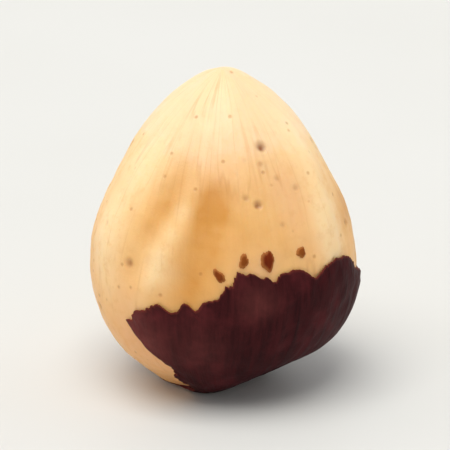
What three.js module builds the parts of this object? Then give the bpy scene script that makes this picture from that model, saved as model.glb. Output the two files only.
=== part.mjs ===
// A roasted hazelnut kernel that has kept part of its skin, standing tip up on a small flat spot.
//
// Millimetres, +Z up through the tip. The origin is the middle of the flat spot that the nut
// rests on, and the front, where the torn edge of the skin shows, faces -Y.
//
// The kernel is one solid. Its surface is a radius for every direction from a centre inside
// it: an egg, plus a raised tip, plus soft swells and furrows. The skin is a thin shell over
// the lower right of the kernel with a torn outline, and four small flecks of skin cling to
// the flesh above it. Skin and flecks follow the same surface, lifted by a small distance.
//
// A direction is given as an azimuth, in degrees from the front (-Y) towards the right (+X),
// and a polar angle, in degrees down from the tip.

import * as THREE from 'three';

const { clamp, degToRad, euclideanModulo, lerp, radToDeg, smoothstep } = THREE.MathUtils;

// Driving dimensions of the kernel, in mm and degrees.
const BODY_RADIUS = 6.4; // half the width at the fullest level
const DEPTH_RATIO = 0.94; // front to back over side to side
const CROWN_HEIGHT = 7.0; // from the fullest level up to the crown
const BASE_HEIGHT = 6.35; // from the fullest level down to the base
const TIP_RISE = 2.55; // how far the tip stands above the crown
const TIP_SPREAD = 27.5; // polar angle over which the tip runs out
const TIP_POWER = 1.5; // below 2, so that the tip stays a little pointed
const BASE_SLANT = 0.08; // how steeply the base rises towards the right
const SLANT_START = 0.2; // height on a unit sphere below which the slant sets in
const SLANT_FULL = -0.6; // height on a unit sphere below which it is full
const BASE_SETTLED = 0.15; // how far the base is flattened into the flat spot
const FLAT_EASE = 0.1; // height over which the base rounds into the flat spot
const CENTRE = new THREE.Vector3(0.9, 0.02, BASE_HEIGHT - BASE_SETTLED);

// Driving dimensions of the skin, in mm.
const SKIN_GAP = 0.05; // clearance between flesh and skin
const SKIN_THICKNESS = 0.2;
const SKIN_LIFT = SKIN_GAP + SKIN_THICKNESS;
const FLAT_HEIGHT = SKIN_LIFT; // the kernel's flat spot, which the skin covers down to z = 0

// How finely the shapes are divided.
const KERNEL_DETAIL = 12;
const SKIN_RINGS = 12;
const SPOKES_PER_OUTLINE_POINT = 3;
const FLECK_RINGS = 2;
const FLECK_SPOKES = 14;

// Broad swells (+) and hollows (-) of the kernel: where each is, how far it reaches
// (degrees) and its height (mm).
const SWELLS = [
  { azimuth: 80, polar: 121, reach: 17, height: 0.2 },
  { azimuth: 45, polar: 150, reach: 15, height: -0.75 },
  { azimuth: -65, polar: 138, reach: 20, height: -0.14 },
  { azimuth: -80, polar: 160, reach: 14, height: 0.3 },
  { azimuth: -90, polar: 50, reach: 24, height: -0.2 },
  { azimuth: 150, polar: 120, reach: 28, height: 0.25 },
  { azimuth: 200, polar: 70, reach: 30, height: -0.2 },
  { azimuth: 250, polar: 135, reach: 25, height: -0.2 },
  { azimuth: 120, polar: 60, reach: 26, height: -0.15 },
  { azimuth: 65, polar: 12, reach: 10, height: -0.2 },
  { azimuth: -75, polar: 10, reach: 9, height: -0.2 },
  { azimuth: -60, polar: 24, reach: 14, height: -0.2 },
];

// Ribs (+) and furrows (-) that run from near the tip towards the base: azimuth and polar
// angle at either end, half width (degrees of azimuth) and height (mm).
const RIBS = [
  { azimuth: [-4, -19], polar: [44, 96], width: 11, height: -0.27 },
  { azimuth: [-18, -43], polar: [50, 98], width: 7, height: 0.1 },
  { azimuth: [-22, -43], polar: [34, 80], width: 7, height: -0.13 },
  { azimuth: [-50, -62], polar: [32, 80], width: 12, height: 0.1 },
  { azimuth: [60, 52], polar: [28, 84], width: 9, height: 0.14 },
  { azimuth: [36, 38], polar: [38, 74], width: 8, height: -0.07 },
  { azimuth: [100, 104], polar: [40, 130], width: 13, height: -0.2 },
  { azimuth: [150, 146], polar: [40, 125], width: 12, height: -0.22 },
  { azimuth: [175, 178], polar: [45, 110], width: 9, height: 0.12 },
  { azimuth: [205, 208], polar: [40, 130], width: 13, height: -0.2 },
  { azimuth: [232, 228], polar: [45, 115], width: 9, height: 0.1 },
  { azimuth: [262, 252], polar: [42, 125], width: 11, height: -0.18 },
];
const RIB_FADE = 16; // polar angle over which a rib rises and runs out at its ends

// The torn edge of the skin, as azimuth and polar angle: along the front from the left
// corner to the right side, round the back, under the base and up the front left again.
const SKIN_CENTRE = [32, 133];
const SKIN_OUTLINE = [
  [-44, 104], [-42, 101], [-37, 97], [-32, 95], [-28, 93], [-22, 96], [-16, 92], [-11, 94],
  [-4, 89], [2, 84], [6, 79], [10, 78], [16, 80], [20, 82], [24, 81], [29, 79],
  [35, 80], [41, 84], [48, 81], [55, 80], [61, 80], [68, 84], [74, 90],
  [84, 95], [96, 97], [108, 92], [119, 95], [131, 103], [144, 102], [157, 111], [171, 122],
  [188, 126], [204, 122], [220, 126], [236, 136], [252, 142], [272, 152], [-60, 158],
  [-34, 156], [-24, 147], [-26, 136], [-27, 128], [-31, 120], [-38, 112],
];

// The flecks of skin on the flesh: centre, size across and down (mm), and how far the long
// way leans to the right (degrees).
const FLECKS = [
  { centre: [19.5, 73.5], size: [0.65, 1.0], lean: 5 },
  { centre: [36, 72.5], size: [0.5, 0.5], lean: 20 },
  { centre: [-1.5, 79], size: [0.4, 0.75], lean: -40 },
  { centre: [9, 73], size: [0.4, 0.7], lean: 10 },
];
// The unevenness of a fleck's edge: waves round it, their height and where they start.
const FLECK_WAVES = [
  { waves: 3, height: 0.14, start: 1 },
  { waves: 5, height: 0.08, start: Math.PI / 2 },
];

const FLESH = new THREE.MeshStandardMaterial({ color: 0xf2c27e, roughness: 0.5, metalness: 0 });
const DARK_SKIN = new THREE.MeshStandardMaterial({ color: 0x45201f, roughness: 0.6, metalness: 0 });
const THIN_SKIN = new THREE.MeshStandardMaterial({ color: 0x8a4a2c, roughness: 0.6, metalness: 0 });

// The unit vector of an azimuth and a polar angle in degrees.
function direction([azimuth, polar]) {
  const a = degToRad(azimuth);
  const p = degToRad(polar);
  return new THREE.Vector3(Math.sin(p) * Math.sin(a), -Math.sin(p) * Math.cos(a), Math.cos(p));
}

// A bell curve: 1 at 0, falling to 1/e at the given reach.
function bell(distance, reach) {
  return Math.exp(-((distance / reach) ** 2));
}

// The height that one rib or furrow adds at an azimuth and a polar angle.
function ribHeight(rib, azimuth, polar) {
  const [top, bottom] = rib.polar;
  const along = clamp((polar - top) / (bottom - top), 0, 1);
  const line = lerp(rib.azimuth[0], rib.azimuth[1], along);
  const across = euclideanModulo(azimuth - line + 180, 360) - 180;
  const risen = smoothstep(polar, top - RIB_FADE, top + RIB_FADE);
  const runOut = smoothstep(polar, bottom - RIB_FADE, bottom + RIB_FADE);
  return rib.height * risen * (1 - runOut) * bell(across, rib.width);
}

// The distance from the centre to the kernel's surface along a unit vector.
function kernelRadius(unit) {
  const sideways = Math.hypot(unit.x, unit.y);
  const polar = radToDeg(Math.atan2(sideways, unit.z));
  const azimuth = radToDeg(Math.atan2(unit.x, -unit.y));
  const half = unit.z > 0 ? CROWN_HEIGHT : BASE_HEIGHT;
  let radius = 1 / Math.hypot(sideways / BODY_RADIUS, unit.z / half);
  radius += TIP_RISE * Math.exp(-((polar / TIP_SPREAD) ** TIP_POWER));
  for (const swell of SWELLS) {
    const away = radToDeg(unit.angleTo(direction([swell.azimuth, swell.polar])));
    radius += swell.height * bell(away, swell.reach);
  }
  for (const rib of RIBS) {
    radius += ribHeight(rib, azimuth, polar);
  }
  return radius;
}

// The higher of two heights, eased where they meet.
function higher(height, floor) {
  const above = height - floor;
  if (Math.abs(above) >= FLAT_EASE) {
    return Math.max(height, floor);
  }
  return floor + (above + FLAT_EASE) ** 2 / (4 * FLAT_EASE);
}

// The point at a given lift above the kernel's surface along a unit vector. The base stops at
// the flat spot, which a lift lowers.
function surfacePoint(unit, lift) {
  const point = unit.clone().multiplyScalar(kernelRadius(unit) + lift);
  point.y *= DEPTH_RATIO;
  const slant = BASE_SLANT * (1 - smoothstep(unit.z, SLANT_FULL, SLANT_START));
  point.z += slant * point.x;
  point.add(CENTRE);
  point.z = higher(point.z, FLAT_HEIGHT - lift);
  return point;
}

// Moves every vertex of a geometry to where the given function puts it.
function reshape(geometry, place) {
  const position = geometry.getAttribute('position');
  const vertex = new THREE.Vector3();
  for (let i = 0; i < position.count; i += 1) {
    vertex.fromBufferAttribute(position, i);
    const { x, y, z } = place(vertex);
    position.setXYZ(i, x, y, z);
  }
  geometry.computeVertexNormals();
  return geometry;
}

// The kernel: a divided sphere whose vertices are moved out to the surface.
function kernelGeometry() {
  const sphere = new THREE.IcosahedronGeometry(1, KERNEL_DETAIL);
  return reshape(sphere, (vertex) => surfacePoint(vertex.normalize(), 0));
}

// A thin shell over the kernel, from a lathe disc with the skin's thickness. On the disc, the
// distance from the axis is how far out a point lies along its spoke, the turn is which spoke,
// and the height is the lift. A spoke is an arc from the shell's centre to its outline.
function shellGeometry(centre, outline, rings, spokes) {
  const profile = [];
  for (let i = 0; i <= rings; i += 1) {
    profile.push(new THREE.Vector2(i / rings, SKIN_LIFT));
  }
  for (let i = rings; i >= 0; i -= 1) {
    profile.push(new THREE.Vector2(i / rings, SKIN_GAP));
  }
  const disc = new THREE.LatheGeometry(profile, spokes);
  return reshape(disc, (vertex) => {
    const turn = Math.atan2(vertex.x, vertex.z) / (2 * Math.PI);
    const end = outline(euclideanModulo(turn, 1));
    const axis = centre.clone().cross(end).normalize();
    const out = Math.hypot(vertex.x, vertex.z) * centre.angleTo(end);
    return surfacePoint(centre.clone().applyAxisAngle(axis, out), vertex.y);
  });
}

// The skin's outline is a smooth closed curve through the torn edge's points.
function skinGeometry() {
  const torn = new THREE.CatmullRomCurve3(SKIN_OUTLINE.map(direction), true);
  const outline = (turn) => torn.getPoint(turn).normalize();
  const spokes = SKIN_OUTLINE.length * SPOKES_PER_OUTLINE_POINT;
  return shellGeometry(direction(SKIN_CENTRE), outline, SKIN_RINGS, spokes);
}

// A fleck's outline is a leaning oval with a slightly uneven edge.
function fleckGeometry({ centre, size, lean }) {
  const middle = direction(centre);
  const across = new THREE.Vector3(0, 0, 1).cross(middle).normalize();
  across.applyAxisAngle(middle, degToRad(-lean));
  const down = across.clone().cross(middle);
  const outline = (turn) => {
    const angle = 2 * Math.PI * turn;
    const uneven = FLECK_WAVES.reduce(
      (sum, { waves, height, start }) => sum + height * Math.sin(waves * angle + start),
      1,
    );
    const half = uneven / (2 * BODY_RADIUS);
    return middle
      .clone()
      .addScaledVector(across, half * size[0] * Math.cos(angle))
      .addScaledVector(down, half * size[1] * Math.sin(angle))
      .normalize();
  };
  return shellGeometry(middle, outline, FLECK_RINGS, FLECK_SPOKES);
}

function part(name, geometry, material) {
  const mesh = new THREE.Mesh(geometry, material);
  mesh.name = name;
  return mesh;
}

const hazelnut = new THREE.Group();
hazelnut.add(part('kernel', kernelGeometry(), FLESH));
hazelnut.add(part('skin', skinGeometry(), DARK_SKIN));
FLECKS.forEach((fleck, index) => {
  hazelnut.add(part(`skin_fleck_${index + 1}`, fleckGeometry(fleck), THIN_SKIN));
});

export default hazelnut;
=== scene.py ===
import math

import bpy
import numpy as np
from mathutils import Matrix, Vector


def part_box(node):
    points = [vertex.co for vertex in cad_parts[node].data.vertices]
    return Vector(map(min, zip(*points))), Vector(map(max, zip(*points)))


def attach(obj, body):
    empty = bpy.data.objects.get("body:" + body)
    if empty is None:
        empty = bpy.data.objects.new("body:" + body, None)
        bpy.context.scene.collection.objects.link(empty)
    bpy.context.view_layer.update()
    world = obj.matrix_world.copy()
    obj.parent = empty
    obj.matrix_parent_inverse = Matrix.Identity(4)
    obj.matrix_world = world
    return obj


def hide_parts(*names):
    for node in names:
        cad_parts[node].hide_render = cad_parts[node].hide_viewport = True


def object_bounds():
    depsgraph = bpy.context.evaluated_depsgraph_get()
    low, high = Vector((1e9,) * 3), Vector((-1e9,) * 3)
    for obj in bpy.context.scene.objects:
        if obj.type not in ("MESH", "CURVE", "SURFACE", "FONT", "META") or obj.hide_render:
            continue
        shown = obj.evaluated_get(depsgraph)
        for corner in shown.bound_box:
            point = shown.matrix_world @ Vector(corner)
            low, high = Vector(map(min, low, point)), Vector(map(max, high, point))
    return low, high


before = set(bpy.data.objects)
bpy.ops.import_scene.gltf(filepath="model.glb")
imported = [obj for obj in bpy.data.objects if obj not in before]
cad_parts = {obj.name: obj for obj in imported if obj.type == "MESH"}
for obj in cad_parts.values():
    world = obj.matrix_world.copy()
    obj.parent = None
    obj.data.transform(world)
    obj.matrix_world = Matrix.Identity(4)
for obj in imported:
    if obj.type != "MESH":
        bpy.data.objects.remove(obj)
cad_low, cad_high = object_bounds()

# A roasted hazelnut kernel with a torn remnant of its dark skin, standing tip up.
#
# The kernel, the skin and the flecks of skin all follow one surface: a radius for every
# direction from a centre inside the nut. That surface is worked out in millimetres, in the
# part's own frame (+Z up through the tip, -Y the front), and is then laid onto the CAD
# kernel's box, which also turns it into metres. A direction is an azimuth, in degrees from
# the front towards the right, and a polar angle, in degrees down from the tip.

# ---------------------------------------------------------------- the nut's shape, mm and degrees

BODY_RADIUS = 6.4  # half the width at the fullest level
DEPTH_RATIO = 0.94  # front to back over side to side
CROWN_HEIGHT = 7.0  # from the fullest level up to the crown
BASE_HEIGHT = 6.35  # from the fullest level down to the base
TIP_RISE = 2.55  # how far the tip stands above the crown
TIP_SPREAD = 27.5  # polar angle over which the tip runs out
TIP_POWER = 1.5
BASE_SLANT = 0.08  # how steeply the base rises towards the right
SLANT_START = 0.2  # height on the unit ball below which the slant sets in
SLANT_FULL = -0.6  # height on the unit ball below which it is full
BASE_SETTLED = 0.15  # how far the base is flattened into the flat spot
FLAT_EASE = 0.1  # height over which the base rounds into the flat spot
FLAT_HEIGHT = 0.25  # the kernel's flat spot, with the skin below it
CENTRE = np.array([0.9, 0.02, BASE_HEIGHT - BASE_SETTLED])

# Swells and hollows: azimuth, polar angle, reach, height.
SWELLS = (
    (80, 121, 17, 0.2),
    (45, 150, 15, -0.75),
    (-65, 138, 20, -0.14),
    (-80, 160, 14, 0.3),
    (-90, 50, 24, -0.2),
    (150, 120, 28, 0.25),
    (200, 70, 30, -0.2),
    (250, 135, 25, -0.2),
    (120, 60, 26, -0.15),
    (65, 12, 10, -0.2),
    (-75, 10, 9, -0.2),
    (-60, 24, 14, -0.2),
)

# Ribs and furrows: azimuth at the top and bottom, polar angle there, half width, height.
RIBS = (
    ((-4, -19), (44, 96), 11, -0.27),
    ((-14, -38), (50, 98), 6, 0.1),
    ((-22, -43), (34, 80), 7, -0.13),
    ((-50, -62), (32, 80), 12, 0.1),
    ((60, 52), (28, 84), 9, 0.14),
    ((36, 38), (38, 74), 8, -0.07),
    ((100, 104), (40, 130), 13, -0.2),
    ((150, 146), (40, 125), 12, -0.22),
    ((175, 178), (45, 110), 9, 0.12),
    ((205, 208), (40, 130), 13, -0.2),
    ((232, 228), (45, 115), 9, 0.1),
    ((262, 252), (42, 125), 11, -0.18),
)
RIB_FADE = 16  # polar angle over which a rib rises and runs out at its ends
FURROW_FULL = 0.24  # the depth at which a furrow is fully golden: painted shade
RIB_FULL = 0.11  # the height at which a rib is fully pale: painted highlight

# Pits in the flesh: azimuth, polar angle, radius and depth in mm.
PITS = (
    (28, 30, 0.2, 0.13),
    (24, 36, 0.12, 0.05),
    (18, 51, 0.17, 0.1),
    (12, 48, 0.13, 0.05),
    (-44, 79, 0.19, 0.08),
    (32, 42, 0.12, 0.04),
    (42, 47, 0.14, 0.05),
    (29, 60, 0.12, 0.04),
    (14, 34, 0.1, 0.02),
)

# Where the flesh is a deeper gold, partly the roast's colour and partly painted shade in its
# hollows, with a painted warm bounce of light on the right; where it is rosy, with one painted
# shadow low on the left; and where it is pale, mostly a painted highlight on the rims and the
# ribs' crests: azimuth, polar angle, reach and strength.
GOLDEN_AND_SHADE_PATCHES = (
    (-5, 44, 7, 0.3),
    (-6, 53, 9, 0.8),
    (-9, 66, 10, 0.6),
    (-11, 80, 11, 0.6),
    (-15, 89, 9, 0.35),
    (-27, 39, 8, 0.4),
    (-32, 50, 8, 0.4),
    (-30, 54, 6, 0.5),
    (-35, 61, 5, 0.3),
    (-43, 78, 5, 0.5),
    (-7, 57, 5, 0.45),
    (-9, 70, 5, 0.4),
    (20, 44, 11, 0.35),
    (-37, 64, 7, 0.3),
    (9, 64, 13, 0.5),
    (28, 68, 11, 0.25),
    (-50, 61, 7, 0.3),
    # The next two are a painted warm bounce of light on the right rim, not roast colour.
    (69, 65, 6, 0.5),
    (80, 62, 11, 0.7),
    (112, 78, 24, 0.4),
    (178, 96, 18, 0.3),
    (210, 70, 26, 0.35),
    (262, 92, 20, 0.3),
)
ROSY_AND_SHADE_PATCHES = (
    (37, 44, 9, 0.7),
    (38, 56, 9, 0.6),
    (0, 34, 12, 0.6),
    (15, 77, 9, 0.7),
    (19, 76, 4, 0.8),
    (44, 72, 12, 0.5),
    (-44, 96, 10, 0.6),
    (-34, 124, 16, 0.9),
    # This one is painted shade, where the lower left of the flesh lies in shadow.
    (-46, 112, 8, 0.8),
    (140, 50, 18, 0.5),
    (235, 60, 16, 0.5),
    (170, 108, 14, 0.5),
)
# Mostly a painted highlight along the left rib, the right rib and the front rib's crest.
PALE_AND_HIGHLIGHT_PATCHES = (
    (-56, 40, 12, 0.5),
    (-62, 68, 14, 0.7),
    (-58, 88, 12, 0.6),
    (61, 30, 10, 0.5),
    (-20, 54, 4, 0.6),
    (-24, 63, 5, 0.6),
    (-29, 71, 5, 0.5),
    (-29, 80, 8, 0.8),
    (56, 62, 9, 0.9),
    (56, 75, 7, 0.7),
    (176, 60, 10, 0.4),
    (232, 80, 12, 0.4),
)

# The skin's torn edge, azimuth and polar angle, and the middle that its spokes start from.
SKIN_MIDDLE = (32, 133)
SKIN_OUTLINE = (
    (-44, 104), (-42, 101), (-37, 97), (-32, 95), (-28, 93), (-22, 96), (-16, 92), (-11, 94),
    (-4, 89), (2, 84), (6, 79), (10, 78), (16, 80), (20, 82), (24, 81), (29, 79),
    (35, 80), (41, 84), (48, 81), (55, 80), (61, 80), (68, 84), (74, 90),
    (84, 95), (96, 97), (108, 92), (119, 95), (131, 103), (144, 102), (157, 111), (171, 122),
    (188, 126), (204, 122), (220, 126), (236, 136), (252, 142), (272, 152), (-60, 158),
    (-34, 156), (-24, 147), (-26, 136), (-27, 128), (-31, 120), (-38, 112),
)
# Where the skin is worn thinner and redder: azimuth, polar angle, reach and strength.
WORN_PATCHES = (
    (-42, 105, 9, 0.9),
    (-33, 112, 9, 0.5),
    (15, 91, 8, 0.5),
    (-12, 112, 14, 0.3),
    (98, 110, 14, 0.5),
    (160, 122, 16, 0.6),
    (212, 128, 12, 0.6),
)
SKIN_GAP = 0.05  # clearance between flesh and skin
SKIN_LIFT = 0.25  # the skin's outer face above the flesh

# Flecks of skin: the CAD node, centre, size across and down in mm, lean in degrees, and how
# worn each is.
FLECKS = (
    ("skin_fleck_1", (19.5, 73.5), (0.65, 1.0), 5, 0.0),
    ("skin_fleck_2", (36, 72.5), (0.5, 0.5), 20, 1.0),
    ("skin_fleck_3", (-1.5, 79), (0.4, 0.75), -40, 0.5),
    ("skin_fleck_4", (9, 73), (0.4, 0.7), 10, 0.8),
)


def smooth(low, high, x):
    """A smooth step: 0 below low, 1 above high, and three t squared less two t cubed between."""
    t = np.clip((x - low) / (high - low), 0, 1)
    return t * t * (3 - 2 * t)


def bell(distance, reach):
    """A bell curve: e to the minus square of distance over reach."""
    return np.exp(-((distance / reach) ** 2))


def direction(azimuth, polar):
    """Unit vectors: sine of polar times (sine, minus cosine) of azimuth, and cosine of polar."""
    a, p = np.radians(azimuth), np.radians(polar)
    parts = np.broadcast_arrays(np.sin(p) * np.sin(a), -np.sin(p) * np.cos(a), np.cos(p))
    return np.stack(parts, -1)


def angles(unit):
    """Azimuth and polar angle of unit vectors, in degrees."""
    azimuth = np.degrees(np.arctan2(unit[..., 0], -unit[..., 1]))
    polar = np.degrees(np.arctan2(np.hypot(unit[..., 0], unit[..., 1]), unit[..., 2]))
    return azimuth, polar


def away(unit, azimuth, polar):
    """The angle between unit vectors and one direction, in degrees."""
    return np.degrees(np.arccos(np.clip(unit @ direction(azimuth, polar), -1, 1)))


def rib_height(unit):
    """The sum of the ribs: each a bell across its own slanting line from tip to base."""
    azimuth, polar = angles(unit)
    total = np.zeros(polar.shape)
    for (top_azimuth, end_azimuth), (top, end), width, height in RIBS:
        along = np.clip((polar - top) / (end - top), 0, 1)
        line = top_azimuth + (end_azimuth - top_azimuth) * along
        across = (azimuth - line + 180) % 360 - 180
        risen = smooth(top - RIB_FADE, top + RIB_FADE, polar)
        run_out = smooth(end - RIB_FADE, end + RIB_FADE, polar)
        total += height * risen * (1 - run_out) * bell(across, width)
    return total


def kernel_radius(unit):
    """The smooth kernel: an ellipsoid of two halves, plus the tip, the swells and the ribs."""
    sideways = np.hypot(unit[..., 0], unit[..., 1])
    _, polar = angles(unit)
    half = np.where(unit[..., 2] > 0, CROWN_HEIGHT, BASE_HEIGHT)
    radius = 1 / np.hypot(sideways / BODY_RADIUS, unit[..., 2] / half)
    radius = radius + TIP_RISE * np.exp(-((polar / TIP_SPREAD) ** TIP_POWER))
    for azimuth, swell_polar, reach, height in SWELLS:
        radius = radius + height * bell(away(unit, azimuth, swell_polar), reach)
    return radius + rib_height(unit)


def higher(height, floor):
    """The higher of two heights, with a parabola over the ease where they meet."""
    above = height - floor
    eased = floor + (above + FLAT_EASE) ** 2 / (4 * FLAT_EASE)
    return np.where(np.abs(above) < FLAT_EASE, eased, np.maximum(height, floor))


def surface(unit, lift, flat_lift=None):
    """Points at a lift above the smooth kernel: the radius along each unit vector, drawn in
    from front to back, slanted at the base, and stopped at the flat spot."""
    point = unit * (kernel_radius(unit) + lift)[..., None]
    point[..., 1] *= DEPTH_RATIO
    slant = BASE_SLANT * (1 - smooth(SLANT_FULL, SLANT_START, unit[..., 2]))
    point[..., 2] += slant * point[..., 0]
    point = point + CENTRE
    floor = FLAT_HEIGHT - (lift if flat_lift is None else flat_lift)
    point[..., 2] = higher(point[..., 2], floor)
    return point


def ball_grid(rows, columns):
    """Unit vectors of a ball: rows from tip to base with a pole at each end, columns round it."""
    polar = np.linspace(0, 180, rows + 1)[:, None]
    azimuth = np.arange(columns)[None] * 360 / columns
    return direction(azimuth, polar)


# The smooth kernel's own box is laid onto the CAD kernel's box.
BOX_ROWS = 180  # steps of the grid that measures it, from tip to base and round it
measured = surface(ball_grid(BOX_ROWS, BOX_ROWS), np.zeros((BOX_ROWS + 1, BOX_ROWS)))
design_low, design_high = measured.min((0, 1)), measured.max((0, 1))
kernel_low, kernel_high = (np.array(corner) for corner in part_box("kernel"))
STRETCH = (kernel_high - kernel_low) / (design_high - design_low)
MM = float(STRETCH[2])  # one millimetre of the design in the scene's metres


def placed(points):
    """Design millimetres to the scene: the kernel's box stretched onto its CAD node's box."""
    return kernel_low + (points - design_low) * STRETCH


# ---------------------------------------------------------------- fine relief

# Relief of the flesh: lumps by their size and height in mm, and strands from tip to base by
# how many go round the nut, their height, and the polar angles over which they set in.
FLESH_LUMPS = ((2.0, 0.03), (0.6, 0.008), (0.32, 0.004))
FLESH_STRANDS = ((40, 0.006, (22, 55)), (90, 0.004, (30, 65)))
# Patches where the strands stand out: their size in mm, and the strands' mean and full growth.
STRAND_PATCHES = (2.5, 0.5, 1.5)
PUCKERS = 6  # gathers round the tip, made of a few waves each
PUCKER_WAVES = 5
PUCKER_REACH = 14  # polar angle that the gathers reach
PUCKER_START = 8  # polar angle at which they are fully risen, so that the tip closes
PUCKER_HEIGHT = 0.03
CALM_BASE = (148, 162)  # polar angles over which the relief dies down under the base
CALM = 0.85  # how much of it dies down there
# Small pits over the sides and back: how many, and their azimuths, heights on the unit ball,
# radii in mm and depths over their radii.
STRAY_PITS = 30
STRAY_AZIMUTH = (68, 298)
STRAY_HEIGHT = (-0.75, 0.9)
STRAY_RADIUS = (0.09, 0.19)
STRAY_DEPTH = (0.25, 0.6)
# The low rim round a pit: its height over the pit's depth, and its place and width over the
# pit's radius. A pit is as dark as it is deep, up to a full darkness, a little past its radius.
PIT_RIM = 0.25
PIT_RIM_PLACE = 1.7
PIT_RIM_WIDTH = 0.6
PIT_DARK_PER_MM = 8
PIT_DARK_REACH = 1.05
FURROW_SHADE = 0.4  # how golden a full furrow is without a patch: painted shade
RIB_HIGHLIGHT = 0.5  # how pale a full rib is without a patch: painted highlight
GOLD_FULL = 1.2  # where patches overlap, the gold goes no deeper than this

# Relief of the skin: lumps, fibres from tip to base, and its thickness along the torn edge.
SKIN_LUMPS = ((1.3, 0.02), (0.5, 0.008))
SKIN_FIBRES = 48
FIBRE_HEIGHT = 0.007
FIBRE_PATCHES = (2.0, 0.4, 1.4)  # as the strands' patches, for the fibres
EDGE_RELIEF = 0.4  # how much of the relief is left where the skin is thinnest
EDGE_LIFT = 0.13  # the skin's outer face above the flesh at its torn edge
EDGE_FADE = 0.7  # distance in mm over which the skin thins towards its edge
CURL_HEIGHT = 0.07  # how far the edge lifts off the flesh where it has dried
CURL_REACH = 0.35
CURL_LENGTH = 1.3  # size in mm of the stretches that have lifted
CURL_FULL = 1.5
CURL_UNDER = 0.8  # how far the inner face lifts with the outer one
# Teeth of the torn edge: how many go round it and how far they reach in mm.
EDGE_LOBES = (26, 0.05)
EDGE_NICKS = ((70, 0.035), (150, 0.025))
EDGE_FRAYS = 9  # stretches of the edge that are frayed more than the rest
FRAY_FULL = 1.5
FRAY_LEAST = 0.35  # how much of the nicks is left where the edge isn't frayed
EDGE_SHADE = 2.0  # distance in mm over which the edge colours the skin

# Relief of the flecks: the outer face's height at the edge and how much more in the middle,
# the inner face's height, the surface's lumps, and the unevenness of the edge as waves round
# it and their height over the fleck's size.
FLECK_EDGE = 0.05
FLECK_MIDDLE = 0.09
FLECK_GAP = 0.02
FLECK_LUMPS = (0.3, 0.012)
FLECK_WAVES = ((3, 0.1), (5, 0.06), (14, 0.02))

GRAIN_DRAW = 0.14  # a pattern on the grain is drawn out to one over this of its width

# How fine the meshes are: the kernel's rows and columns, the skin's columns for each point of
# its outline and rings to its edge, the fleck's columns and rings, and the angle in degrees
# past which an edge of a shell stays sharp.
KERNEL_GRID = (290, 320)
SKIN_COLUMNS = 14
SKIN_RINGS = 70
FLECK_COLUMNS = 96
FLECK_RINGS = 12
CREASE = 50

# The spread of the random waves: of their lengths, of their numbers round the nut, and of how
# much they turn on the way down it.
LUMP_SPREAD = (0.75, 1.35)
STRAND_SPREAD = (0.6, 1.4)
STRAND_SLOPE = 2.2


def lumps(unit, size, seed, count=48):
    """Soft lumps of one size in mm: many cosine waves across the ball, each with its own
    direction, length and phase, added up and brought to a spread of one."""
    rng = np.random.default_rng(seed)
    way = rng.normal(size=(count, 3))
    way /= np.linalg.norm(way, axis=1, keepdims=True)
    length = 2 * size * rng.uniform(*LUMP_SPREAD, count)
    phase = rng.uniform(0, 2 * np.pi, count)
    total = np.zeros(unit.shape[:-1])
    for i in range(count):
        total += np.cos(unit @ way[i] * (BODY_RADIUS * 2 * np.pi / length[i]) + phase[i])
    return total * math.sqrt(2 / count)


def growth(unit, size, mean, full, seed):
    """How much a pattern grows in patches: the mean, plus what it lacks of one times lumps of
    the patches' size, kept between nothing and the full growth."""
    return np.clip(mean + (1 - mean) * lumps(unit, size, seed), 0, full)


def strands(azimuth, polar, lines, seed, count=28):
    """Fine lines from tip to base: cosine waves that turn a whole number of times round the
    nut and only a little on the way down it, brought to a spread of one."""
    rng = np.random.default_rng(seed)
    fewest, most = (int(lines * spread) for spread in STRAND_SPREAD)
    turns = rng.integers(fewest, most, count)
    slope = rng.normal(0, STRAND_SLOPE, count)
    phase = rng.uniform(0, 2 * np.pi, count)
    total = np.zeros(np.broadcast(azimuth, polar).shape)
    for i in range(count):
        total += np.cos(turns[i] * np.radians(azimuth) + slope[i] * np.radians(polar) + phase[i])
    return total * math.sqrt(2 / count)


def stray_pits(seed):
    """Small pits over the sides and back, evenly spread over the ball and kept off the front."""
    rng = np.random.default_rng(seed)
    azimuth = rng.uniform(*STRAY_AZIMUTH, STRAY_PITS)
    polar = np.degrees(np.arccos(rng.uniform(*STRAY_HEIGHT, STRAY_PITS)))
    radius = rng.uniform(*STRAY_RADIUS, STRAY_PITS)
    depth = radius * rng.uniform(*STRAY_DEPTH, STRAY_PITS)
    return list(zip(azimuth, polar, radius, depth))


def pitting(unit):
    """Depth and darkness of the pits: a bell for each pit, with a low rim round it."""
    depth = np.zeros(unit.shape[:-1])
    dark = np.zeros(unit.shape[:-1])
    for azimuth, polar, radius, deep in list(PITS) + stray_pits(seed=5):
        local = float(kernel_radius(direction(azimuth, polar)))
        distance = np.radians(away(unit, azimuth, polar)) * local
        rim = bell(distance - PIT_RIM_PLACE * radius, PIT_RIM_WIDTH * radius)
        depth += deep * (bell(distance, radius) - PIT_RIM * rim)
        darkness = min(1, PIT_DARK_PER_MM * deep)
        dark = np.maximum(dark, darkness * bell(distance, PIT_DARK_REACH * radius))
    return depth, dark


def patches(unit, spots):
    """A field of soft spots: the sum of a bell for each."""
    total = np.zeros(unit.shape[:-1])
    for azimuth, polar, reach, strength in spots:
        total += strength * bell(away(unit, azimuth, polar), reach)
    return total


def grain(azimuth, polar):
    """Coordinates in mm that a pattern follows from tip to base: round a circle of the body's
    radius with the azimuth, and a little way along it with the polar angle."""
    a = np.radians(azimuth)
    along = GRAIN_DRAW * np.radians(polar)
    parts = np.broadcast_arrays(np.sin(a), -np.cos(a), along)
    return BODY_RADIUS * np.stack(parts, -1)


# ---------------------------------------------------------------- meshes


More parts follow.
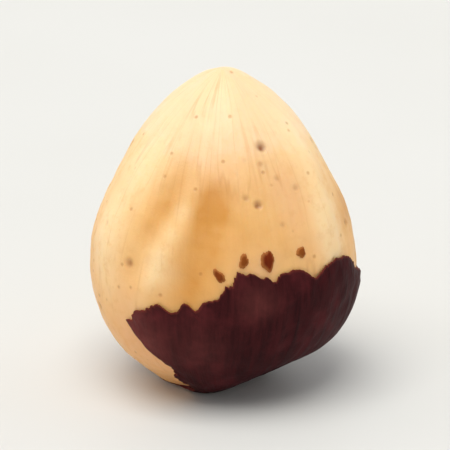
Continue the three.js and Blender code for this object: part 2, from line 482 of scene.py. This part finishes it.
def closed_piece(name, grid, material, fields, crease=None):
    """A closed surface from a grid of points: the first and last rows are poles, the columns
    close on themselves, and each field becomes an attribute of the points."""
    rows, columns = grid.shape[0] - 1, grid.shape[1]
    inner = np.arange((rows - 1) * columns).reshape(rows - 1, columns) + 1
    last = inner[-1, -1] + 1
    beside = np.roll(inner, -1, axis=1)
    quads = np.stack([inner[:-1], inner[1:], beside[1:], beside[:-1]], -1).reshape(-1, 4)
    top = np.stack([np.zeros(columns, int), inner[0], beside[0]], -1)
    bottom = np.stack([inner[-1], np.full(columns, last), beside[-1]], -1)

    def flat(values):
        """A grid's values as one list, row by row, with each pole once."""
        width = values.shape[2:]
        middle = values[1:-1].reshape(-1, *width)
        return np.concatenate([values[:1, 0], middle, values[-1:, 0]])

    mesh = bpy.data.meshes.new(name)
    points = placed(flat(grid))
    mesh.from_pydata(points, [], top.tolist() + quads.tolist() + bottom.tolist())
    for field, values in fields.items():
        kind, slot_name = ("FLOAT_VECTOR", "vector") if values.ndim == 3 else ("FLOAT", "value")
        attribute = mesh.attributes.new(field, kind, "POINT")
        attribute.data.foreach_set(slot_name, flat(values).astype(np.float32).ravel())
    mesh.shade_smooth()
    if crease is not None:
        mesh.set_sharp_from_angle(angle=math.radians(crease))
    mesh.materials.append(material)
    piece = bpy.data.objects.new(name, mesh)
    bpy.context.scene.collection.objects.link(piece)
    return piece


def make_kernel(material):
    """The flesh: the smooth kernel, plus wide and small lumps, fine strands from tip to base, a
    puckered tip and pits. The furrows are painted a deeper gold as shade and the ribs painted pale
    as a highlight, besides the patches."""
    unit = ball_grid(*KERNEL_GRID)
    azimuth, polar = angles(unit)
    depth, dark = pitting(unit)
    relief = np.zeros(polar.shape)
    for seed, (size, height) in enumerate(FLESH_LUMPS, 21):
        relief += height * lumps(unit, size, seed)
    patchy = growth(unit, *STRAND_PATCHES, seed=13)
    for seed, (lines, height, fade) in enumerate(FLESH_STRANDS, 11):
        relief += height * patchy * smooth(*fade, polar) * strands(azimuth, polar, lines, seed)
    gathers = strands(azimuth, polar, PUCKERS, seed=31, count=PUCKER_WAVES)
    gathers = gathers * smooth(0, PUCKER_START, polar)
    relief += PUCKER_HEIGHT * bell(polar, PUCKER_REACH) * gathers
    relief = relief * (1 - CALM * smooth(*CALM_BASE, polar)) - depth
    rib = rib_height(unit)
    # The furrows are painted a deeper gold as shade, and the rib crests paler as a highlight.
    golden_and_shade = patches(unit, GOLDEN_AND_SHADE_PATCHES) + FURROW_SHADE * np.clip(-rib / FURROW_FULL, 0, 1)
    pale_and_highlight = patches(unit, PALE_AND_HIGHLIGHT_PATCHES) + RIB_HIGHLIGHT * np.clip(rib / RIB_FULL, 0, 1)
    fields = {
        "pit": dark,
        "golden_and_shade": np.clip(golden_and_shade, 0, GOLD_FULL),
        "rosy_and_shade": np.clip(patches(unit, ROSY_AND_SHADE_PATCHES), 0, 1),
        "pale_and_highlight": np.clip(pale_and_highlight, 0, 1),
        "grain": grain(azimuth, polar),
    }
    grid = surface(unit, relief, flat_lift=np.zeros(relief.shape))
    return closed_piece("nut_kernel", grid, material, fields)


def smooth_loop(points, samples):
    """A closed Catmull-Rom curve through the points, sampled evenly from point to point and
    brought back onto the unit ball."""
    position = np.arange(samples) * len(points) / samples
    index = position.astype(int)
    t = (position - index)[:, None]
    before, here, after, later = (np.roll(points, 1 - k, axis=0)[index] for k in range(4))
    curve = 2 * here + (after - before) * t
    curve = curve + (2 * before - 5 * here + 4 * after - later) * t**2
    curve = curve + (3 * here - before - 3 * after + later) * t**3
    return curve / np.linalg.norm(curve, axis=1, keepdims=True)


def spokes(middle, ends, fractions):
    """Arcs from a middle to each end on the unit ball, at the given fractions of their length."""
    angle = np.arccos(np.clip(ends @ middle, -1, 1))[None, :, None]
    out = fractions[:, None, None]
    arc = np.sin((1 - out) * angle) * middle + np.sin(out * angle) * ends[None]
    return arc / np.sin(angle)


def shell_rows(rings):
    """Fractions of a spoke for a closed shell, out over its outer face and back under it, finer
    towards the edge, with a mark that is 1 on the outer face and 0 on the inner one."""
    out = np.sin(np.linspace(0, np.pi / 2, rings + 1))
    fraction = np.concatenate([out, out[::-1]])
    outer = np.concatenate([np.ones(rings + 1), np.zeros(rings + 1)])
    return fraction, outer


def torn_reach(columns):
    """How far the torn edge's teeth reach past its outline, in mm: wide lobes all round, and
    finer nicks that are deeper where the edge is frayed."""
    turn = np.arange(columns) / columns * 360
    lobes, height = EDGE_LOBES
    reach = height * strands(turn, 0, lobes, seed=41)
    frayed = np.clip(strands(turn, 0, EDGE_FRAYS, seed=43), 0, FRAY_FULL)
    nicked = FRAY_LEAST + (1 - FRAY_LEAST) * frayed
    for seed, (nicks, height) in enumerate(EDGE_NICKS, 45):
        reach += height * nicked * strands(turn, 0, nicks, seed)
    return reach


def make_skin(material):
    """The skin: spokes from its middle to the torn edge. Its outer face swells and wrinkles a
    little, thins towards the edge, and lifts there in places."""
    middle = direction(*SKIN_MIDDLE)
    columns = SKIN_COLUMNS * len(SKIN_OUTLINE)
    ends = smooth_loop(direction(*np.array(SKIN_OUTLINE, float).T), columns)
    along = ends - (ends @ middle)[:, None] * middle
    along /= np.linalg.norm(along, axis=1, keepdims=True)
    reach = np.arccos(np.clip(ends @ middle, -1, 1)) + torn_reach(columns) / BODY_RADIUS
    ends = np.cos(reach)[:, None] * middle + np.sin(reach)[:, None] * along
    fraction, outer = shell_rows(SKIN_RINGS)
    unit = spokes(middle, ends, fraction)
    azimuth, polar = angles(unit)
    to_edge = (1 - fraction[:, None]) * reach * BODY_RADIUS
    thin = smooth(0, EDGE_FADE, to_edge)
    wrinkle = np.zeros(polar.shape)
    for seed, (size, height) in enumerate(SKIN_LUMPS, 51):
        wrinkle += height * lumps(unit, size, seed)
    streaked = growth(unit, *FIBRE_PATCHES, seed=55)
    wrinkle += FIBRE_HEIGHT * streaked * strands(azimuth, polar, SKIN_FIBRES, seed=57)
    wrinkle *= EDGE_RELIEF + (1 - EDGE_RELIEF) * thin
    dried = np.clip(lumps(unit, CURL_LENGTH, seed=54), 0, CURL_FULL)
    curl = CURL_HEIGHT * bell(to_edge, CURL_REACH) * dried
    on_outside = outer[:, None] > 0
    outer_lift = EDGE_LIFT + (SKIN_LIFT - EDGE_LIFT) * thin + wrinkle + curl
    lift = np.where(on_outside, outer_lift, SKIN_GAP + CURL_UNDER * curl)
    flat_lift = np.where(on_outside, SKIN_LIFT, SKIN_GAP) * np.ones(columns)
    fields = {
        "edge": np.clip(to_edge / EDGE_SHADE, 0, 1),
        "worn": np.clip(patches(unit, WORN_PATCHES), 0, 1),
        "grain": grain(azimuth, polar),
    }
    grid = surface(unit, lift, flat_lift=flat_lift)
    return closed_piece("torn_skin", grid, material, fields, crease=CREASE)


def make_fleck(name, centre, size, lean, worn, seed, material):
    """A fleck: a leaning oval with an uneven edge, thinning towards the edge as the cube of
    the way out."""
    middle = direction(*centre)
    across = np.cross([0, 0, 1.0], middle)
    across /= np.linalg.norm(across)
    down = np.cross(across, middle)
    tilt = math.radians(lean)
    across, down = (
        across * math.cos(tilt) + down * math.sin(tilt),
        down * math.cos(tilt) - across * math.sin(tilt),
    )
    turn = np.arange(FLECK_COLUMNS) / FLECK_COLUMNS * 2 * np.pi
    (wide, wide_height), (middling, middling_height), (fine, fine_height) = FLECK_WAVES
    uneven = 1 + wide_height * np.sin(wide * turn + seed) + middling_height * np.cos(middling * turn)
    uneven = uneven + fine_height * strands(np.degrees(turn), 0, fine, seed)
    x = uneven * np.cos(turn) * size[0] / (2 * BODY_RADIUS)
    y = uneven * np.sin(turn) * size[1] / (2 * BODY_RADIUS)
    ends = middle + x[:, None] * across + y[:, None] * down
    ends /= np.linalg.norm(ends, axis=1, keepdims=True)
    fraction, outer = shell_rows(FLECK_RINGS)
    unit = spokes(middle, ends, fraction)
    azimuth, polar = angles(unit)
    lump_size, lump_height = FLECK_LUMPS
    outer_lift = FLECK_EDGE + FLECK_MIDDLE * (1 - fraction[:, None] ** 3)
    outer_lift = outer_lift + lump_height * lumps(unit, lump_size, seed)
    lift = np.where(outer[:, None] > 0, outer_lift, FLECK_GAP)
    fields = {
        "edge": (1 - fraction[:, None]) * np.ones(FLECK_COLUMNS),
        "worn": np.full(polar.shape, worn),
        "grain": grain(azimuth, polar),
    }
    return closed_piece(name, surface(unit, lift), material, fields, crease=CREASE)


# ---------------------------------------------------------------- materials


def linear(colour):
    """An sRGB hex colour as linear red, green, blue and an alpha of 1."""
    parts = [int(colour[i : i + 2], 16) / 255 for i in (1, 3, 5)]
    parts = [c / 12.92 if c <= 0.04045 else ((c + 0.055) / 1.055) ** 2.4 for c in parts]
    return (*parts, 1.0)


def add(tree, kind, inputs=None, stops=None, **settings):
    """Adds a node: its settings, its inputs as values or links, and the stops of a ramp."""
    node = tree.nodes.new(kind)
    for name, value in settings.items():
        setattr(node, name, value)
    for socket, value in (inputs or {}).items():
        if isinstance(value, bpy.types.NodeSocket):
            tree.links.new(value, node.inputs[socket])
        else:
            node.inputs[socket].default_value = value
    if stops:
        ramp = node.color_ramp.elements
        while len(ramp) < len(stops):
            ramp.new(0.5)
        for element, (position, colour) in zip(ramp, stops):
            element.position = position
            element.color = linear(colour)
    return node


def new_material(name):
    """An empty node material, its node tree and its output node."""
    material = bpy.data.materials.new(name)
    material.use_nodes = True
    material.node_tree.nodes.clear()
    output = material.node_tree.nodes.new("ShaderNodeOutputMaterial")
    return material, material.node_tree, output


def roasted_flesh():
    """Roasted hazelnut flesh, blanched of its skin: waxy and slightly see-through, so light
    softens in it. Cream at the tip to a warmer tan at the base, partly painted light from above;
    a deeper gold in the furrows and hollows, partly the roast and partly painted shade; a painted
    highlight on the rims and rib crests; rosy tan in patches, with dark pits and a thin film of
    oil that gives a satin gloss."""
    material, tree, output = new_material("roasted_hazelnut_flesh")
    coords = add(tree, "ShaderNodeTexCoord").outputs["Object"]
    along = add(tree, "ShaderNodeAttribute", attribute_name="grain").outputs["Vector"]
    golden_and_shade = add(tree, "ShaderNodeAttribute", attribute_name="golden_and_shade").outputs["Fac"]
    rosy_and_shade = add(tree, "ShaderNodeAttribute", attribute_name="rosy_and_shade").outputs["Fac"]
    pale_and_highlight = add(tree, "ShaderNodeAttribute", attribute_name="pale_and_highlight").outputs["Fac"]
    pit = add(tree, "ShaderNodeAttribute", attribute_name="pit").outputs["Fac"]

    # Cream at the tip to a warmer tan at the base, partly the flesh's tone and partly painted
    # light falling from above, wandering by patches about 3 mm wide.
    # Up goes from 0 at 2 mm above the rest to 1 at 15 mm.
    height = add(tree, "ShaderNodeSeparateXYZ", {"Vector": coords}).outputs["Z"]
    up = add(
        tree,
        "ShaderNodeMapRange",
        {"Value": height, "From Min": 2 * MM, "From Max": 15 * MM},
    ).outputs["Result"]
    wander = add(
        tree,
        "ShaderNodeTexNoise",
        {"Vector": coords, "Scale": 1 / (3.2 * MM), "Detail": 3.0, "Roughness": 0.55},
    ).outputs["Fac"]
    wandered = add(
        tree,
        "ShaderNodeMath",
        {0: wander, 1: 0.35, 2: up},
        operation="MULTIPLY_ADD",
    ).outputs[0]
    body = add(
        tree,
        "ShaderNodeValToRGB",
        {"Fac": wandered},
        stops=[
            (0.15, "#E9B070"),
            (0.5, "#F0BA74"),
            (0.75, "#F3C583"),
            (0.95, "#F5CF96"),
            (1.0, "#F7D7AA"),
        ],
    ).outputs["Color"]

    # Strands half a millimetre wide along the grain, fewer on the pale tip.
    streaks = add(
        tree,
        "ShaderNodeTexNoise",
        {"Vector": along, "Scale": 1 / 0.5, "Detail": 4.0, "Roughness": 0.6},
    ).outputs["Fac"]
    below_tip = add(
        tree,
        "ShaderNodeMapRange",
        {"Value": up, "From Min": 0.95, "From Max": 0.6, "To Min": 0.25},
    ).outputs["Result"]
    streak_strength = add(
        tree,
        "ShaderNodeMapRange",
        {"Value": streaks, "From Min": 0.42, "From Max": 0.72, "To Max": 0.4},
    ).outputs["Result"]
    streak_amount = add(
        tree,
        "ShaderNodeMath",
        {0: streak_strength, 1: below_tip},
        operation="MULTIPLY",
    ).outputs[0]

    # Veins: thin broken lines where a wider noise along the grain crosses its middle.
    vein_noise = add(
        tree,
        "ShaderNodeTexNoise",
        {"Vector": along, "Scale": 1 / 1.3, "Detail": 2.0, "Roughness": 0.5},
    ).outputs["Fac"]
    from_middle = add(
        tree,
        "ShaderNodeMath",
        {0: vein_noise, 1: 0.5},
        operation="SUBTRACT",
    ).outputs[0]
    off_vein = add(
        tree,
        "ShaderNodeMath",
        {0: from_middle},
        operation="ABSOLUTE",
    ).outputs[0]
    vein = add(
        tree,
        "ShaderNodeMapRange",
        {"Value": off_vein, "From Min": 0.022, "From Max": 0.004},
    ).outputs["Result"]
    vein_strength = add(
        tree,
        "ShaderNodeMapRange",
        {"Value": wander, "From Min": 0.4, "From Max": 0.62, "To Max": 0.3},
    ).outputs["Result"]
    vein_amount = add(
        tree,
        "ShaderNodeMath",
        {0: vein, 1: vein_strength},
        operation="MULTIPLY",
    ).outputs[0]

    # The gold, partly the roast and partly painted shade in the furrows and hollows; the rose,
    # with one painted shadow low on the left; and the pale, mostly a painted highlight on the ribs
    # and rims. The gold is broken up by the wide patches.
    gold_and_shade_noise = add(
        tree,
        "ShaderNodeMath",
        {0: golden_and_shade, 1: wander},
        operation="MULTIPLY",
    ).outputs[0]
    gold_and_shade_amount = add(
        tree,
        "ShaderNodeMapRange",
        {"Value": gold_and_shade_noise, "From Min": 0.0, "From Max": 0.6, "To Max": 0.85},
    ).outputs["Result"]
    rosy_and_shade_amount = add(
        tree,
        "ShaderNodeMath",
        {0: rosy_and_shade, 1: 0.45},
        operation="MULTIPLY",
    ).outputs[0]
    # Paler flesh, mostly a painted highlight on the rims and rib crests.
    pale_and_highlight_amount = add(
        tree,
        "ShaderNodeMath",
        {0: pale_and_highlight, 1: 0.6},
        operation="MULTIPLY",
    ).outputs[0]

    # Roast marks half a millimetre wide, and brown specks about a millimetre apart.
    mottle = add(
        tree,
        "ShaderNodeTexNoise",
        {"Vector": coords, "Scale": 1 / (0.5 * MM), "Detail": 5.0, "Roughness": 0.6},
    ).outputs["Fac"]
    mottle_strength = add(
        tree,
        "ShaderNodeMapRange",
        {"Value": mottle, "From Min": 0.52, "From Max": 0.75, "To Max": 0.35},
    ).outputs["Result"]
    mottle_amount = add(
        tree,
        "ShaderNodeMath",
        {0: mottle_strength, 1: below_tip},
        operation="MULTIPLY",
    ).outputs[0]
    speck_distance = add(
        tree,
        "ShaderNodeTexVoronoi",
        {"Vector": coords, "Scale": 1 / (0.95 * MM), "Randomness": 1.0},
    ).outputs["Distance"]
    speck = add(
        tree,
        "ShaderNodeMapRange",
        {"Value": speck_distance, "From Min": 0.13, "From Max": 0.05},
    ).outputs["Result"]
    speck_amount = add(
        tree,
        "ShaderNodeMath",
        {0: speck, 1: 0.45},
        operation="MULTIPLY",
    ).outputs[0]
    pit_amount = add(
        tree,
        "ShaderNodeMath",
        {0: pit, 1: 0.95},
        operation="MULTIPLY",
    ).outputs[0]

    # Each colour is laid over those before it, by its own amount. A Mix node takes its two
    # colours at inputs 6 and 7 and gives the mixed one at output 2.
    layers = (
        (streak_amount, "#E3AC66"),
        (gold_and_shade_amount, "#CF8929"),
        (rosy_and_shade_amount, "#EBB083"),
        (pale_and_highlight_amount, "#FBE0B2"),
        (mottle_amount, "#DDA15E"),
        (vein_amount, "#C98A4A"),
        (speck_amount, "#B0702F"),
        (pit_amount, "#8C4A18"),
    )
    for amount, over in layers:
        sockets = {0: amount, 6: body, 7: linear(over)}
        body = add(tree, "ShaderNodeMix", sockets, data_type="RGBA").outputs[2]

    # The relief in the gloss: strands, sunken specks and a grain a tenth of a millimetre wide,
    # drawn a little coarser than the real one so that it shows.
    granules = add(
        tree,
        "ShaderNodeTexNoise",
        {"Vector": coords, "Scale": 1 / (0.13 * MM), "Detail": 3.0, "Roughness": 0.65},
    ).outputs["Fac"]
    fibrous = add(
        tree,
        "ShaderNodeMath",
        {0: streaks, 1: 1.6, 2: granules},
        operation="MULTIPLY_ADD",
    ).outputs[0]
    sunken = add(
        tree,
        "ShaderNodeMath",
        {0: speck, 1: -1.2, 2: fibrous},
        operation="MULTIPLY_ADD",
    ).outputs[0]
    bump = add(
        tree,
        "ShaderNodeBump",
        {"Height": sunken, "Strength": 0.45, "Distance": 0.035 * MM},
    ).outputs["Normal"]
    roughness = add(
        tree,
        "ShaderNodeMapRange",
        {"Value": mottle, "From Min": 0.3, "From Max": 0.7, "To Min": 0.36, "To Max": 0.54},
    ).outputs["Result"]
    shader = add(
        tree,
        "ShaderNodeBsdfPrincipled",
        {
            "Base Color": body,
            "Roughness": roughness,
            "Normal": bump,
            "IOR": 1.47,
            "Subsurface Weight": 0.3,
            "Subsurface Radius": (1.0, 0.55, 0.25),
            "Subsurface Scale": 1.1 * MM,
        },
    )
    tree.links.new(shader.outputs["BSDF"], output.inputs["Surface"])
    return material


def papery_skin(name, dark, mid, red, rim, worn_colour, rim_width):
    """Dry hazelnut skin: thin, fibrous and papery, dark from the roast, redder where it is
    thin along its torn edge, with a low satin gloss along its fibres."""
    material, tree, output = new_material(name)
    coords = add(tree, "ShaderNodeTexCoord").outputs["Object"]
    along = add(tree, "ShaderNodeAttribute", attribute_name="grain").outputs["Vector"]
    edge = add(tree, "ShaderNodeAttribute", attribute_name="edge").outputs["Fac"]
    worn = add(tree, "ShaderNodeAttribute", attribute_name="worn").outputs["Fac"]

    # Fibres a quarter of a millimetre wide, and redder patches about 1.6 mm wide.
    fibres = add(
        tree,
        "ShaderNodeTexNoise",
        {"Vector": along, "Scale": 1 / 0.28, "Detail": 4.0, "Roughness": 0.6},
    ).outputs["Fac"]
    body = add(
        tree,
        "ShaderNodeValToRGB",
        {"Fac": fibres},
        stops=[(0.3, dark), (0.7, mid)],
    ).outputs["Color"]
    red_patches = add(
        tree,
        "ShaderNodeTexNoise",
        {"Vector": coords, "Scale": 1 / (1.6 * MM), "Detail": 4.0, "Roughness": 0.6},
    ).outputs["Fac"]
    red_amount = add(
        tree,
        "ShaderNodeMapRange",
        {"Value": red_patches, "From Min": 0.48, "From Max": 0.72, "To Max": 0.6},
    ).outputs["Result"]
    worn_amount = add(
        tree,
        "ShaderNodeMath",
        {0: worn, 1: red_patches},
        operation="MULTIPLY",
    ).outputs[0]
    rim_reach = add(
        tree,
        "ShaderNodeMath",
        {0: red_patches, 1: rim_width},
        operation="MULTIPLY",
    ).outputs[0]
    rim_amount = add(
        tree,
        "ShaderNodeMapRange",
        {"Value": edge, "From Min": rim_reach, "From Max": 0.0, "To Max": 0.75},
    ).outputs["Result"]
    for amount, over in ((red_amount, red), (worn_amount, worn_colour), (rim_amount, rim)):
        sockets = {0: amount, 6: body, 7: linear(over)}
        body = add(tree, "ShaderNodeMix", sockets, data_type="RGBA").outputs[2]

    # The relief in the gloss: the fibres, and crinkles 0.4 mm wide.
    crinkle = add(
        tree,
        "ShaderNodeTexNoise",
        {"Vector": coords, "Scale": 1 / (0.4 * MM), "Detail": 4.0, "Roughness": 0.6},
    ).outputs["Fac"]
    relief = add(
        tree,
        "ShaderNodeMath",
        {0: fibres, 1: 1.5, 2: crinkle},
        operation="MULTIPLY_ADD",
    ).outputs[0]
    bump = add(
        tree,
        "ShaderNodeBump",
        {"Height": relief, "Strength": 0.6, "Distance": 0.05 * MM},
    ).outputs["Normal"]
    roughness = add(
        tree,
        "ShaderNodeMapRange",
        {"Value": fibres, "From Min": 0.3, "From Max": 0.7, "To Min": 0.44, "To Max": 0.64},
    ).outputs["Result"]
    shader = add(
        tree,
        "ShaderNodeBsdfPrincipled",
        {
            "Base Color": body,
            "Roughness": roughness,
            "Normal": bump,
            "IOR": 1.45,
            "Specular IOR Level": 0.06,
        },
    )
    tree.links.new(shader.outputs["BSDF"], output.inputs["Surface"])
    return material


def pale_floor():
    """Matt white board, very slightly uneven in tone over about 30 mm."""
    material, tree, output = new_material("matt_white_board")
    coords = add(tree, "ShaderNodeTexCoord").outputs["Object"]
    cloud = add(
        tree,
        "ShaderNodeTexNoise",
        {"Vector": coords, "Scale": 1 / (30 * MM), "Detail": 2.0},
    ).outputs["Fac"]
    tone = add(
        tree,
        "ShaderNodeValToRGB",
        {"Fac": cloud},
        stops=[(0.3, "#D4D4D1"), (0.7, "#D7D7D5")],
    ).outputs["Color"]
    shader = add(
        tree,
        "ShaderNodeBsdfPrincipled",
        {"Base Color": tone, "Roughness": 0.6, "IOR": 1.45},
    )
    tree.links.new(shader.outputs["BSDF"], output.inputs["Surface"])
    return material


# ---------------------------------------------------------------- the pieces

flesh = roasted_flesh()
dark_skin = papery_skin(
    name="dark_roasted_skin",
    dark="#27080C",
    mid="#42171A",
    red="#541E22",
    rim="#6E3028",
    worn_colour="#8C4A46",
    rim_width=0.12,
)
thin_skin = papery_skin(
    name="worn_thin_skin",
    dark="#5C1E08",
    mid="#7A2F10",
    red="#662210",
    rim="#BC7C44",
    worn_colour="#96581F",
    rim_width=0.9,
)

kernel = make_kernel(flesh)
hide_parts("kernel")
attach(kernel, "root")

skin = make_skin(dark_skin)
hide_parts("skin")
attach(skin, "root")

for seed, (node, centre, size, lean, worn) in enumerate(FLECKS, 61):
    name = node.replace("skin_fleck", "worn_fleck")
    fleck = make_fleck(name, centre, size, lean, worn, seed, thin_skin)
    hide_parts(node)
    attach(fleck, "root")

# ---------------------------------------------------------------- floor, light and camera, m

FLOOR_FLAT = 0.3  # radius of the flat middle of the floor
FLOOR_RADIUS = 0.85
FLOOR_RISE = 0.14  # height of its rim, so that no horizon shows
FLOOR_HUB = 0.001  # radius of the round face that closes its middle
FLOOR_MIDDLE = 0.1  # a ring between the hub and the end of the flat
FLOOR_RINGS = 24  # rings of the rising part
FLOOR_SIDES = 128


def pale_sweep():
    """A round floor: flat in the middle, then rising to its rim as the square of the way out."""
    rising = np.linspace(FLOOR_FLAT, FLOOR_RADIUS, FLOOR_RINGS)
    radius = np.concatenate([[FLOOR_HUB, FLOOR_MIDDLE], rising])[:, None]
    turn = np.radians(np.arange(FLOOR_SIDES) * 360 / FLOOR_SIDES)[None]
    climb = np.clip((radius - FLOOR_FLAT) / (FLOOR_RADIUS - FLOOR_FLAT), 0, 1)
    height = FLOOR_RISE * climb**2
    parts = np.broadcast_arrays(radius * np.cos(turn), radius * np.sin(turn), height)
    rows, columns = radius.size, turn.size
    corner = np.arange(rows * columns).reshape(rows, columns)
    beside = np.roll(corner, -1, axis=1)
    rings = np.stack([corner[:-1], corner[1:], beside[1:], beside[:-1]], -1).reshape(-1, 4)
    mesh = bpy.data.meshes.new("floor")
    points = np.stack(parts, -1).reshape(-1, 3)
    mesh.from_pydata(points, [], rings.tolist() + [corner[0].tolist()])
    mesh.shade_smooth()
    mesh.materials.append(pale_floor())
    floor = bpy.data.objects.new("floor", mesh)
    bpy.context.scene.collection.objects.link(floor)
    return floor


pale_sweep()

middle = (Vector(cad_low) + Vector(cad_high)) / 2
reach = (Vector(cad_high) - Vector(cad_low)).length / 2


def softbox(name, azimuth, elevation, distance, width, watts, colour):
    """A square area light on a sphere round the nut, facing it. The azimuth is in degrees from
    the front towards the right and the elevation in degrees up; the rest is in metres."""
    light = bpy.data.lights.new(name, "AREA")
    light.size = width
    light.energy = watts
    light.color = linear(colour)[:3]
    lamp = bpy.data.objects.new(name, light)
    a, e = math.radians(azimuth), math.radians(elevation)
    back = Vector((math.sin(a) * math.cos(e), -math.cos(a) * math.cos(e), math.sin(e)))
    lamp.location = middle + distance * back
    lamp.rotation_euler = (-back).to_track_quat("-Z", "Y").to_euler()
    bpy.context.scene.collection.objects.link(lamp)


softbox(
    name="top_softbox",
    azimuth=-25,
    elevation=72,
    distance=2.4,
    width=1.9,
    watts=55,
    colour="#FFFDF8",
)


def white_cove():
    """The light of a white cove: bright low down behind the nut and at its sides, dimmer
    overhead and towards the front."""
    cove = bpy.data.worlds.new("white_cove")
    cove.use_nodes = True
    tree = cove.node_tree
    way = add(tree, "ShaderNodeTexCoord").outputs["Generated"]
    split = add(tree, "ShaderNodeSeparateXYZ", {"Vector": way})
    upward = add(
        tree,
        "ShaderNodeMapRange",
        {
            "Value": split.outputs["Z"],
            "From Min": 0.2,
            "From Max": 0.75,
            "To Min": 1.36,
            "To Max": 0.54,
        },
        interpolation_type="SMOOTHSTEP",
    ).outputs["Result"]
    frontward = add(
        tree,
        "ShaderNodeMapRange",
        {
            "Value": split.outputs["Y"],
            "From Min": -0.75,
            "From Max": 0.1,
            "To Min": 0.35,
            "To Max": 1.0,
        },
        interpolation_type="SMOOTHSTEP",
    ).outputs["Result"]
    strength = add(
        tree,
        "ShaderNodeMath",
        {0: upward, 1: frontward},
        operation="MULTIPLY",
    ).outputs[0]
    background = tree.nodes["Background"]
    background.inputs["Color"].default_value = linear("#FFFFFF")
    tree.links.new(strength, background.inputs["Strength"])
    bpy.context.scene.world = cove


white_cove()
bpy.context.scene.view_settings.view_transform = "Standard"

CAMERA_LENS = 300  # focal length in mm
CAMERA_SENSOR = 36  # sensor width in mm
CAMERA_ELEVATION = 20
CAMERA_ROOM = 0.9  # distance over the one at which the box's sphere fills the view
camera_data = bpy.data.cameras.new("camera")
camera_data.lens = CAMERA_LENS
camera_data.sensor_width = CAMERA_SENSOR
camera = bpy.data.objects.new("camera", camera_data)
half_view = math.atan(CAMERA_SENSOR / 2 / CAMERA_LENS)
tilt = math.radians(CAMERA_ELEVATION)
back = Vector((0, -math.cos(tilt), math.sin(tilt)))
camera.location = middle + back * (reach / math.sin(half_view) * CAMERA_ROOM)
camera.rotation_euler = (-back).to_track_quat("-Z", "Y").to_euler()
camera_data.clip_start = reach / 100
camera_data.clip_end = 4 * FLOOR_RADIUS
bpy.context.scene.collection.objects.link(camera)
bpy.context.scene.camera = camera
